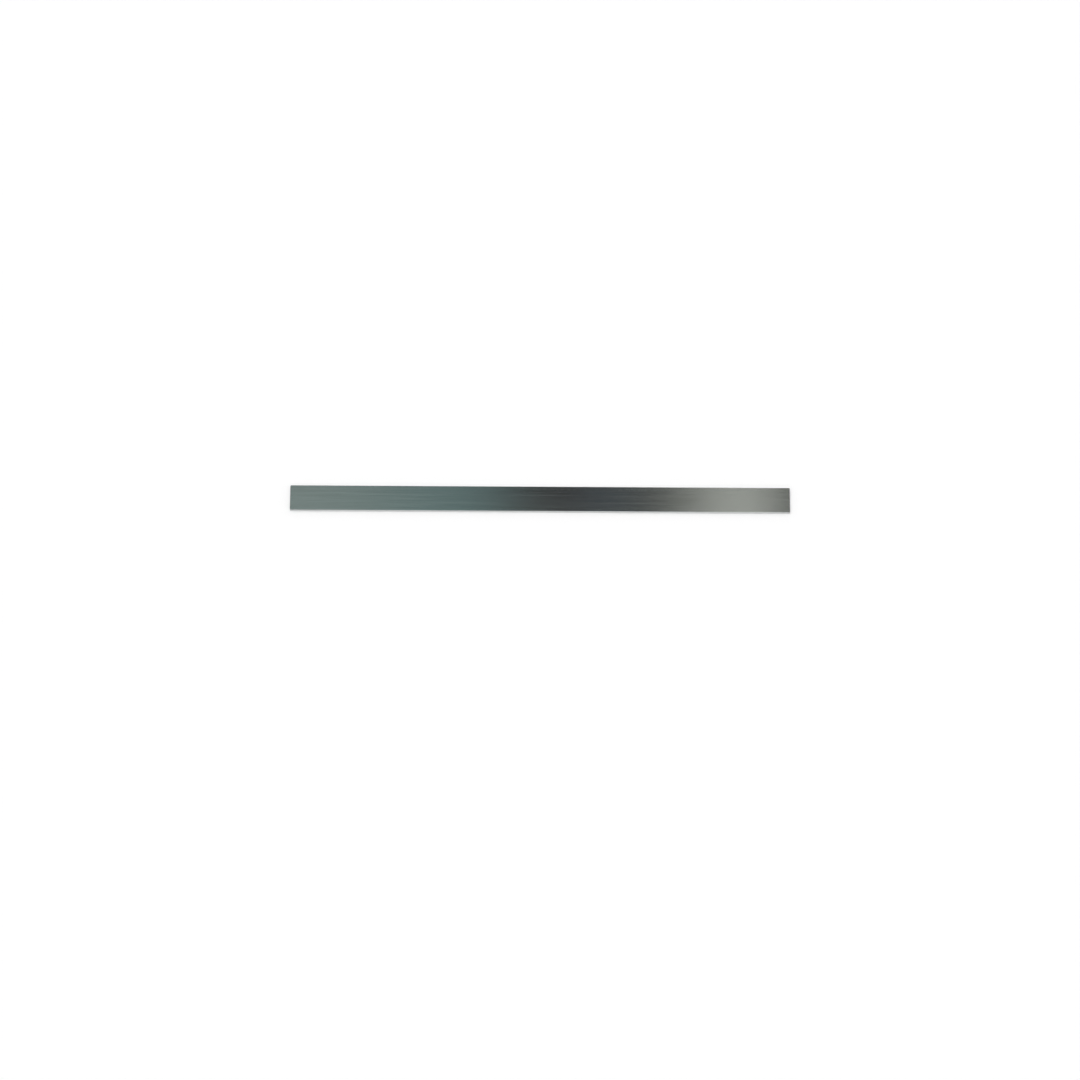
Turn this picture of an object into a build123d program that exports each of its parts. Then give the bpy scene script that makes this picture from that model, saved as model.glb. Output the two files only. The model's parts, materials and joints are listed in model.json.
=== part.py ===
"""Icing smoother: a plain stainless steel straight edge, one piece of flat bar.

It is held by both ends, and one of its two long narrow edges is drawn over the icing to
strike it level. It has no handle, hole or fastener. Both long edges are true and can be
used, and either broad face can be in front.

Frame, in millimetres: the bar lies on a broad face. X runs along its length, Y from one
working edge to the other, Z through its thickness. The origin is the middle of the face
that it lies on.
"""

import os

from build123d import *

# Flat bar
length = 457.2
width = 25.4
thickness = 3.2

# Corners of the outline, dressed so that no sharp point is left at either end
corner_radius = 1.0

# Arris round each broad face, eased so that a working edge glides and doesn't dig in
arris_radius = 0.4

# The most of a wall that one round takes, so that two of them leave a flat between them
round_wall_share = 0.45


def eased(radius, wall):
    """The radius of a round, or less where its wall is too thin to carry it."""
    return min(radius, wall * round_wall_share)


def smoothing_bar():
    """Flat bar cut to length, its corners rounded and the arris of both broad faces eased."""
    corner = eased(corner_radius, width)
    arris = eased(arris_radius, min(thickness, corner))
    blank = extrude(RectangleRounded(length, width, corner), thickness)
    broad_faces = blank.faces().filter_by(Axis.Z)
    return fillet(broad_faces.edges(), arris)


os.makedirs("parts", exist_ok=True)
export_step(smoothing_bar(), "parts/smoothing_bar.step")
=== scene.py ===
"""Icing smoother: the satin finish of a plain stainless steel straight edge, and its studio.

Laid out as a Blender add-on and run as a script. The frame holds the bar itself, lying on
a broad face: X along its length, Y from one working edge to the other, Z through its
thickness, all in metres.
"""

import json
from math import cos, radians, sin, tau

import bpy
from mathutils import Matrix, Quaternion, Vector


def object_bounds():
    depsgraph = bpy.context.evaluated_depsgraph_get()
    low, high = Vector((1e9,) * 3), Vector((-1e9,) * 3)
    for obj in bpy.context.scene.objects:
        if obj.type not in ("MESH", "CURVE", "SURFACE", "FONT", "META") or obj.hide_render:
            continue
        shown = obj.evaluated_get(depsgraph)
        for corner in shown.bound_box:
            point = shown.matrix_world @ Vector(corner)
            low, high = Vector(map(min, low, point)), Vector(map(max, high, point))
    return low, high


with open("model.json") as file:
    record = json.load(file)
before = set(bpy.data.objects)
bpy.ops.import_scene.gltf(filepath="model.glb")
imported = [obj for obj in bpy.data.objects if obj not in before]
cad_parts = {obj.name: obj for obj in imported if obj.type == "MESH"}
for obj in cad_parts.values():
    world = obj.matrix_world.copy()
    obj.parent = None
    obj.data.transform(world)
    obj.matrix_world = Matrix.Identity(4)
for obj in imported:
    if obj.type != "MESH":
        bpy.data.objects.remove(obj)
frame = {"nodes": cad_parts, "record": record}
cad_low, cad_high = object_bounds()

bl_info = {
    "name": "Icing Smoother",
    "version": (1, 0, 0),
    "blender": (4, 5, 0),
    "location": "View3D > Sidebar > Icing Smoother",
    "description": "Gives a steel straight edge its satin finish and sets up its studio",
    "category": "Object",
}

BAR_NODE = "smoothing_bar"
STEEL_SLOT = "stainless_steel"

# The bar as the frame holds it
BAR_LENGTH = cad_high.x - cad_low.x
BAR_WIDTH = cad_high.y - cad_low.y
STEEL_COLOR = next(
    material["base_color"]
    for material in frame["record"]["materials"]
    if material["slot"] == STEEL_SLOT
)

# Where the bar's upper face lies in the photograph's frame, in its pixels
PHOTO_SIDE_PX = 1080
BAR_CENTRE_PX = (540.0, 498.8)
BAR_SPAN_PX = 500.0

# Ground lines along the bar: their length and pitch, in grain lengths and grain pitches
GROUND_LINES = {
    "fine_lines": (0.5, 1.0),
    "deep_lines": (1.0, 3.0),
    "bands": (4.0, 12.0),
    "edge_lines": (2.0, 2.0),
}

# Length of the lines ground across the two ends, in grain pitches
END_LINE_PITCHES = 20

# The three values of a mark in the steel: the share that it lightens the colour by, what it
# adds to the roughness, and its height in grain depths
COLOR, ROUGHNESS, HEIGHT = range(3)

# What each mark does to the steel
STEEL_MARKS = {
    "fine_lines": (0.05, 0.0, 0.5),
    "deep_lines": (0.10, 0.03, 1.0),
    "bands": (0.04, 0.02, 0.0),
    "edge_lines": (0.10, 0.04, 1.0),
    "wear": (0.08, -0.03, 0.0),
    # The arrises: smoother from polish, and a little lighter in colour as a painted highlight
    "arris": (0.06, -0.06, 0.0),
    "end_face": (0.0, 0.08, 0.0),
}

# How squarely a surface faces along an axis, 1 being straight along it: from the first value
# to the second, the marks of a flat face or those of an arris fade in
FLAT_FACING = (0.75, 0.95)
ARRIS_FACING = (0.995, 0.93)

# How far in from the long edges use has polished the steel, by how much that varies, and the
# cells of that variation
WEAR_REACH = 0.002
WEAR_VARIATION = 0.0005
WEAR_CELL = (0.15, 0.01, 0.01)

# Noise of all patterns: how much finer noise is in it, and the values that it mostly keeps within
NOISE_DETAIL = 2.0
NOISE_ROUGHNESS = 0.6
NOISE_LOW = 0.3
NOISE_HIGH = 0.7

# How far a grain line is shifted along, in lines' lengths, so that no two start side by side,
# and the cells of that shift: their width in lines' pitches, and their length, far longer than
# the bar, which makes the shift the same for the whole of a line
GRAIN_STAGGER = 1.5
STAGGER_PITCHES = 2
STAGGER_LENGTH = 100 * BAR_LENGTH

# Soft key lamp: the direction from the bar to it, and how wide it looks from the bar
KEY_DIRECTION = (-0.15, -0.25, 1.0)
KEY_ANGLE = radians(40)

# Graded card that the upper face mirrors to the camera: its distance from the bar and its size
CARD_DISTANCE = 0.55
CARD_LENGTH = 0.73
CARD_WIDTH = 0.4

# How much lighter the card grows towards its upper side, as a share of its tone
CARD_RISE = 0.6

# Tones along the card, from left to right: the place as a share of its length, and the light
CARD_TONES = (
    (0.17, (0.30, 0.37, 0.35)),
    (0.42, (0.17, 0.265, 0.26)),
    (0.475, (0.055, 0.05, 0.05)),
    (0.54, (0.05, 0.04, 0.035)),
    (0.59, (0.08, 0.11, 0.135)),
    (0.651, (0.035, 0.035, 0.03)),
    (0.807, (0.88, 0.91, 0.83)),
    (0.834, (0.01, 0.01, 0.01)),
)

# Tones of the ceiling that the steel mirrors, with a soft box overhead: the height as a sine
# of the angle over the floor, and the light
CEILING_TONES = (
    (0.03, (1.0, 1.0, 1.0)),
    (0.13, (0.58, 0.58, 0.58)),
    (0.30, (0.40, 0.40, 0.40)),
    (0.65, (0.32, 0.32, 0.32)),
    (0.85, (0.34, 0.34, 0.34)),
    (0.98, (0.85, 0.85, 0.85)),
)

# Strips of light overhead run from front to back: the distance from one to the next, in sines
# of the angle from straight up, and how much lighter than the ceiling they are
STRIP_PITCH = 0.63
STRIP_GAIN = 0.6


class BarFinish(bpy.types.PropertyGroup):
    """The sizes and colours of the steel's finish."""

    steel_color: bpy.props.FloatVectorProperty(
        name="Steel Colour",
        description="Colour of the bare steel",
        subtype="COLOR",
        size=3,
        min=0.0,
        max=1.0,
        default=STEEL_COLOR,
    )
    roughness: bpy.props.FloatProperty(
        name="Roughness",
        description="How far the satin finish blurs what it mirrors",
        subtype="FACTOR",
        min=0.0,
        max=1.0,
        default=0.21,
    )
    grain_length: bpy.props.FloatProperty(
        name="Grain Length",
        description="Length of a grain line along the bar",
        unit="LENGTH",
        subtype="DISTANCE",
        min=0.001,
        default=0.045,
    )
    grain_pitch: bpy.props.FloatProperty(
        name="Grain Pitch",
        description="Distance from one grain line to the next",
        unit="LENGTH",
        subtype="DISTANCE",
        min=0.00002,
        precision=5,
        default=0.00022,
    )
    grain_depth: bpy.props.FloatProperty(
        name="Grain Depth",
        description="Depth of the grain lines",
        unit="LENGTH",
        subtype="DISTANCE",
        min=0.0,
        precision=6,
        default=0.000003,
    )
    edge_wear: bpy.props.FloatProperty(
        name="Edge Wear",
        description="How much use has polished the steel along the two long edges",
        subtype="FACTOR",
        min=0.0,
        max=1.0,
        default=1.0,
    )


class StudioSetup(bpy.types.PropertyGroup):
    """The floor, the light and the camera."""

    floor_color: bpy.props.FloatVectorProperty(
        name="Floor Colour",
        description="Colour of the floor",
        subtype="COLOR",
        size=3,
        min=0.0,
        max=1.0,
        default=(0.9, 0.9, 0.9),
    )
    floor_side: bpy.props.FloatProperty(
        name="Floor Side",
        description="Side of the square floor",
        unit="LENGTH",
        subtype="DISTANCE",
        min=1.0,
        default=40.0,
    )
    lens: bpy.props.FloatProperty(
        name="Lens",
        description="Focal length of the camera, in millimetres",
        unit="CAMERA",
        subtype="DISTANCE_CAMERA",
        min=10.0,
        default=200.0,
    )
    camera_elevation: bpy.props.FloatProperty(
        name="Camera Elevation",
        description="Height of the camera above the floor, as an angle seen from the bar",
        unit="ROTATION",
        subtype="ANGLE",
        default=radians(62.5),
    )
    camera_roll: bpy.props.FloatProperty(
        name="Camera Roll",
        description="How far the bar leans down to the right in the picture",
        unit="ROTATION",
        subtype="ANGLE",
        default=radians(0.32),
    )
    floor_lift: bpy.props.FloatProperty(
        name="Floor Lift",
        description="Light added to the floor where the camera sees it, to meet the white backdrop",
        min=0.0,
        default=0.11,
    )
    key_strength: bpy.props.FloatProperty(
        name="Key Strength",
        description="Strength of the soft key lamp",
        min=0.0,
        default=1.3,
    )
    ambient_strength: bpy.props.FloatProperty(
        name="Ambient Strength",
        description="Strength of the light from all round",
        min=0.0,
        default=0.6,
    )


def add_node(tree, kind, settings=None, **inputs):
    """A new node of that kind, with settings for its properties and inputs for its sockets."""
    node = tree.nodes.new(kind)
    for name, value in (settings or {}).items():
        setattr(node, name, value)
    for name, value in inputs.items():
        feed(tree, node.inputs[name.replace("_", " ")], value)
    return node


def feed(tree, socket, value):
    """Link value to the socket if it is another node's output, or else set it."""
    if isinstance(value, bpy.types.NodeSocket):
        tree.links.new(value, socket)
    else:
        socket.default_value = value


def math_node(tree, operation, *values):
    """The result of one operation on the values."""
    node = add_node(tree, "ShaderNodeMath", {"operation": operation})
    for socket, value in zip(node.inputs, values):
        feed(tree, socket, value)
    return node.outputs[0]


def summed(tree, base, *parts):
    """base plus each part's value times its weight."""
    total = base
    for value, weight in parts:
        total = math_node(tree, "MULTIPLY_ADD", value, weight, total)
    return total


def ramped(tree, value, low, high):
    """0 up to low and 1 from high on, with a smooth rise between.

    Where low is over high, it is the other way round.
    """
    rise = add_node(
        tree,
        "ShaderNodeMapRange",
        {"interpolation_type": "SMOOTHSTEP"},
        Value=value,
        From_Min=low,
        From_Max=high,
    )
    return rise.outputs[0]


def tone_ramp(tree, share, tones):
    """The colour at that share of the way, with a smooth change from each tone to the next."""
    node = add_node(tree, "ShaderNodeValToRGB", Fac=share)
    node.color_ramp.interpolation = "EASE"
    stops = node.color_ramp.elements
    while len(stops) < len(tones):
        stops.new(1.0)
    for stop, (place, color) in zip(stops, tones):
        stop.position = place
        stop.color = (*color, 1.0)
    return node.outputs["Color"]


def absolute(tree, vector):
    """The X, Y and Z of a vector without their signs."""
    node = add_node(tree, "ShaderNodeVectorMath", {"operation": "ABSOLUTE"}, Vector=vector)
    return add_node(tree, "ShaderNodeSeparateXYZ", Vector=node.outputs[0]).outputs


def streaks(tree, place, cell):
    """Noise from -1 to 1, whose cells have the length, width and height in cell."""
    mapping = add_node(
        tree,
        "ShaderNodeMapping",
        {"vector_type": "TEXTURE"},
        Vector=place,
        Scale=cell,
    )
    noise = add_node(
        tree,
        "ShaderNodeTexNoise",
        Vector=mapping.outputs[0],
        Scale=1.0,
        Detail=NOISE_DETAIL,
        Roughness=NOISE_ROUGHNESS,
    )
    spread = add_node(
        tree,
        "ShaderNodeMapRange",
        Value=noise.outputs[0],
        From_Min=NOISE_LOW,
        From_Max=NOISE_HIGH,
        To_Min=-1.0,
        To_Max=1.0,
    )
    return spread.outputs[0]


def grain_lines(tree, place, length, pitch):
    """Noise from -1 to 1 in lines along X, each line shifted along by a length of its own."""
    stagger_width = STAGGER_PITCHES * pitch
    shift = streaks(tree, place, (STAGGER_LENGTH, stagger_width, stagger_width))
    shift = math_node(tree, "MULTIPLY", shift, GRAIN_STAGGER * length)
    shift = add_node(tree, "ShaderNodeCombineXYZ", X=shift)
    shifted = add_node(tree, "ShaderNodeVectorMath", {"operation": "ADD"})
    feed(tree, shifted.inputs[0], place)
    feed(tree, shifted.inputs[1], shift.outputs[0])
    return streaks(tree, shifted.outputs[0], (length, pitch, pitch))


def blended(tree, share, first, second):
    """first where share is 0, second where it is 1."""
    mix = add_node(tree, "ShaderNodeMix", {"data_type": "FLOAT"})
    for name, value in (("Factor", share), ("A", first), ("B", second)):
        feed(tree, mix.inputs[name], value)
    return mix.outputs[0]


def steel_marks(tree, finish):
    """The masks and patterns of STEEL_MARKS by name, each a socket that holds its strength."""
    coordinates = add_node(tree, "ShaderNodeTexCoord")
    place = coordinates.outputs["Object"]
    pitch = finish.grain_pitch

    # Where on the bar: its ends, its long narrow edges and its rounded arrises
    facing = absolute(tree, coordinates.outputs["Normal"])
    squarest = math_node(tree, "MAXIMUM", facing["X"], facing["Y"])
    squarest = math_node(tree, "MAXIMUM", squarest, facing["Z"])
    end_face = ramped(tree, facing["X"], *FLAT_FACING)
    long_edge = ramped(tree, facing["Y"], *FLAT_FACING)

    # Polish of use, which reaches further in from the long edges at some places than at others
    inset = math_node(tree, "SUBTRACT", BAR_WIDTH / 2, absolute(tree, place)["Y"])
    inset = summed(tree, inset, (streaks(tree, place, WEAR_CELL), WEAR_VARIATION))
    wear = ramped(tree, inset, WEAR_REACH, 0.0)

    # Ground lines: along the bar, coarser on its long narrow edges, and across it on the two ends
    marks = {
        name: grain_lines(tree, place, lengths * finish.grain_length, pitches * pitch)
        for name, (lengths, pitches) in GROUND_LINES.items()
    }
    across = streaks(tree, place, (pitch, END_LINE_PITCHES * pitch, pitch))
    marks["deep_lines"] = blended(tree, end_face, marks["deep_lines"], across)
    marks["edge_lines"] = math_node(tree, "MULTIPLY", marks["edge_lines"], long_edge)
    marks["wear"] = math_node(tree, "MULTIPLY", wear, finish.edge_wear)
    # Rounded arrises: polished smoother, and lightened in colour as a painted highlight
    marks["arris"] = ramped(tree, squarest, *ARRIS_FACING)
    marks["end_face"] = end_face
    return marks


def stainless_steel(finish):
    """Satin stainless steel: fine grain along the bar, cross-ground ends, and arrises that are
    polished smoother and lightened in colour as a painted highlight.
    """
    material = bpy.data.materials.new("satin_stainless_steel")
    material.use_nodes = True
    tree = material.node_tree
    shader = tree.nodes["Principled BSDF"]
    shader.inputs["Metallic"].default_value = 1.0
    marks = steel_marks(tree, finish)

    def total(base, which):
        """base plus what all marks add to the colour, the roughness or the height."""
        weights = {name: mark[which] for name, mark in STEEL_MARKS.items()}
        parts = [(marks[name], weight) for name, weight in weights.items() if weight]
        return summed(tree, base, *parts)

    tint = add_node(tree, "ShaderNodeVectorMath", {"operation": "SCALE"}, Scale=total(1.0, COLOR))
    tint.inputs[0].default_value = finish.steel_color
    feed(tree, shader.inputs["Base Color"], tint.outputs[0])
    feed(tree, shader.inputs["Roughness"], total(finish.roughness, ROUGHNESS))
    height = math_node(tree, "MULTIPLY", total(0.0, HEIGHT), finish.grain_depth)
    bump = add_node(tree, "ShaderNodeBump", Height=height, Distance=1.0, Strength=1.0)
    feed(tree, shader.inputs["Normal"], bump.outputs[0])
    return material


class ICING_OT_finish_bar(bpy.types.Operator):
    """Give the smoothing bar its satin stainless steel"""

    bl_idname = "icing_smoother.finish_bar"
    bl_label = "Finish Smoothing Bar"

    def execute(self, context):
        bar = frame["nodes"][BAR_NODE]
        steel = stainless_steel(context.scene.bar_finish)
        for slot in bar.material_slots:
            slot.material = steel
        return {"FINISHED"}


def seen_by_camera(tree, *ways):
    """1 for what the camera sees, directly or by the named outputs of Light Path, otherwise 0."""
    rays = add_node(tree, "ShaderNodeLightPath").outputs
    seen = rays["Is Camera Ray"]
    for way in ways:
        seen = math_node(tree, "MAXIMUM", seen, rays[way])
    return seen


def floor_material(studio):
    """Pale matt floor, lifted to the white of the backdrop where the camera sees it."""
    material = bpy.data.materials.new("pale_floor")
    material.use_nodes = True
    tree = material.node_tree
    shader = tree.nodes["Principled BSDF"]
    shader.inputs["Base Color"].default_value = (*studio.floor_color, 1.0)
    shader.inputs["Roughness"].default_value = 1.0
    shader.inputs["Specular IOR Level"].default_value = 0.0
    shader.inputs["Emission Color"].default_value = (1.0, 1.0, 1.0, 1.0)
    seen = seen_by_camera(tree, "Is Glossy Ray", "Is Transmission Ray")
    lift = math_node(tree, "MULTIPLY", seen, studio.floor_lift)
    feed(tree, shader.inputs["Emission Strength"], lift)
    return material


def lay_floor(studio):
    """A large square floor under the bar."""
    bpy.ops.object.select_all(action="DESELECT")
    bpy.ops.mesh.primitive_plane_add(size=studio.floor_side, location=(0.0, 0.0, cad_low.z))
    floor = bpy.context.object
    floor.name = "floor"
    floor.data.materials.append(floor_material(studio))
    bpy.ops.object.transform_apply(location=True, rotation=True, scale=True)


def face_centre():
    """The middle of the bar's upper face."""
    return Vector(((cad_low.x + cad_high.x) / 2, (cad_low.y + cad_high.y) / 2, cad_high.z))


def aim_camera(studio):
    """The camera at the photograph's angle, with the bar where the photograph has it."""
    camera = bpy.data.objects.new("camera", bpy.data.cameras.new("camera"))
    bpy.context.scene.collection.objects.link(camera)
    bpy.context.scene.camera = camera
    camera.data.lens = studio.lens
    lens_px = studio.lens / camera.data.sensor_width * PHOTO_SIDE_PX
    distance = lens_px * BAR_LENGTH / BAR_SPAN_PX
    back = Vector((0.0, -cos(studio.camera_elevation), sin(studio.camera_elevation)))
    camera.location = face_centre() + back * distance

    # Straight at the bar and rolled, and then turned off it by as much as the bar is off the
    # middle of the photograph
    roll = Quaternion((0.0, 0.0, 1.0), studio.camera_roll)
    straight_at_bar = (-back).to_track_quat("-Z", "Y") @ roll
    half_side = PHOTO_SIDE_PX / 2
    to_bar = Vector((BAR_CENTRE_PX[0] - half_side, half_side - BAR_CENTRE_PX[1], -lens_px))
    turn = to_bar.rotation_difference(Vector((0.0, 0.0, -1.0)))
    camera.rotation_mode = "QUATERNION"
    camera.rotation_quaternion = straight_at_bar @ turn


def hang_key_lamp(studio):
    """A soft key lamp, high over the bar, a little in front of it and to its left.

    The steel doesn't mirror it.
    """
    lamp = bpy.data.lights.new("key_lamp", "SUN")
    lamp.energy = studio.key_strength
    lamp.angle = KEY_ANGLE
    key = bpy.data.objects.new("key_lamp", lamp)
    bpy.context.scene.collection.objects.link(key)
    key.rotation_mode = "QUATERNION"
    key.rotation_quaternion = (-Vector(KEY_DIRECTION)).to_track_quat("-Z", "Y")
    key.visible_glossy = False


def card_material():
    """Light of the graded card.

    It is pale on the left, dark in the middle, palest over the bar's right end and dark again
    past that.
    """
    material = bpy.data.materials.new("graded_card")
    material.use_nodes = True
    tree = material.node_tree
    tree.nodes.remove(tree.nodes["Principled BSDF"])
    place = add_node(tree, "ShaderNodeTexCoord").outputs["Object"]
    place = add_node(tree, "ShaderNodeSeparateXYZ", Vector=place).outputs

    # From 0 at the card's left end to 1 at its right, and from darker to lighter up its width
    share = summed(tree, 0.5, (place["X"], 1 / CARD_LENGTH))
    strength = summed(tree, 1.0, (place["Y"], CARD_RISE / (CARD_WIDTH / 2)))
    light = add_node(
        tree,
        "ShaderNodeEmission",
        Color=tone_ramp(tree, share, CARD_TONES),
        Strength=strength,
    )
    feed(tree, tree.nodes["Material Output"].inputs["Surface"], light.outputs[0])
    return material


def hang_card(studio):
    """The graded card that the bar's upper face mirrors to the camera. It lights nothing else."""
    mirrored = Vector((0.0, cos(studio.camera_elevation), sin(studio.camera_elevation)))
    place = face_centre() + mirrored * CARD_DISTANCE
    bpy.ops.object.select_all(action="DESELECT")
    bpy.ops.mesh.primitive_plane_add(size=1.0)
    card = bpy.context.object
    card.name = "graded_card"
    card.scale = (CARD_LENGTH, CARD_WIDTH, 1.0)
    bpy.ops.object.transform_apply(location=False, rotation=False, scale=True)
    card.location = place
    card.rotation_mode = "QUATERNION"
    card.rotation_quaternion = (-mirrored).to_track_quat("Z", "Y")
    card.data.materials.append(card_material())
    card.visible_camera = False
    card.visible_diffuse = False
    card.visible_transmission = False
    card.visible_volume_scatter = False
    card.visible_shadow = False


def blended_shaders(tree, share, first, second):
    """The first shader where share is 0, the second where it is 1."""
    mix = add_node(tree, "ShaderNodeMixShader", Fac=share)
    for socket, shader in zip(mix.inputs[1:], (first, second)):
        feed(tree, socket, shader.outputs[0])
    return mix


def light_world(studio):
    """Even white light from all round.

    The steel mirrors a white horizon, and over it a greyer ceiling with a soft box overhead and
    strips of light.
    """
    world = bpy.data.worlds.new("studio")
    bpy.context.scene.world = world
    world.use_nodes = True
    tree = world.node_tree
    ambient = tree.nodes["Background"]
    ambient.inputs["Color"].default_value = (1.0, 1.0, 1.0, 1.0)
    ambient.inputs["Strength"].default_value = studio.ambient_strength
    direction = add_node(tree, "ShaderNodeTexCoord").outputs["Generated"]
    direction = add_node(tree, "ShaderNodeSeparateXYZ", Vector=direction).outputs
    strips = math_node(tree, "MULTIPLY", direction["X"], tau / STRIP_PITCH)
    strips = math_node(tree, "SINE", strips)
    ceiling = add_node(
        tree,
        "ShaderNodeBackground",
        Color=tone_ramp(tree, direction["Z"], CEILING_TONES),
        Strength=summed(tree, 1.0, (strips, STRIP_GAIN)),
    )
    backdrop = add_node(tree, "ShaderNodeBackground", Color=(1.0, 1.0, 1.0, 1.0), Strength=1.0)
    mirrored = add_node(tree, "ShaderNodeLightPath").outputs["Is Glossy Ray"]
    surroundings = blended_shaders(tree, mirrored, ambient, ceiling)
    seen = seen_by_camera(tree, "Is Transmission Ray")
    surroundings = blended_shaders(tree, seen, surroundings, backdrop)
    feed(tree, tree.nodes["World Output"].inputs["Surface"], surroundings.outputs[0])


class ICING_OT_build_studio(bpy.types.Operator):
    """Aim the camera, lay the floor, hang the key lamp and the card, and light the world"""

    bl_idname = "icing_smoother.build_studio"
    bl_label = "Build Studio"

    def execute(self, context):
        studio = context.scene.studio_setup
        context.scene.view_settings.view_transform = "Standard"
        aim_camera(studio)
        lay_floor(studio)
        hang_key_lamp(studio)
        hang_card(studio)
        light_world(studio)
        return {"FINISHED"}


class ICING_PT_sidebar(bpy.types.Panel):
    """The icing smoother's operators and settings, in the 3D view's sidebar"""

    bl_idname = "ICING_PT_sidebar"
    bl_label = "Icing Smoother"
    bl_space_type = "VIEW_3D"
    bl_region_type = "UI"
    bl_category = "Icing Smoother"

    def draw(self, context):
        for operator, settings in (
            (ICING_OT_finish_bar, context.scene.bar_finish),
            (ICING_OT_build_studio, context.scene.studio_setup),
        ):
            box = self.layout.box()
            for name in settings.__annotations__:
                box.prop(settings, name)
            box.operator(operator.bl_idname)


CLASSES = (BarFinish, StudioSetup, ICING_OT_finish_bar, ICING_OT_build_studio, ICING_PT_sidebar)


def register():
    """Add the classes and the two groups of settings to Blender."""
    for cls in CLASSES:
        bpy.utils.register_class(cls)
    bpy.types.Scene.bar_finish = bpy.props.PointerProperty(type=BarFinish)
    bpy.types.Scene.studio_setup = bpy.props.PointerProperty(type=StudioSetup)


def unregister():
    """Take away what register added."""
    del bpy.types.Scene.studio_setup
    del bpy.types.Scene.bar_finish
    for cls in reversed(CLASSES):
        bpy.utils.unregister_class(cls)


def main():
    """Set up the studio and finish the bar through the add-on's own operators."""
    register()
    bpy.ops.icing_smoother.build_studio()
    bpy.ops.icing_smoother.finish_bar()


if __name__ == "__main__":
    main()
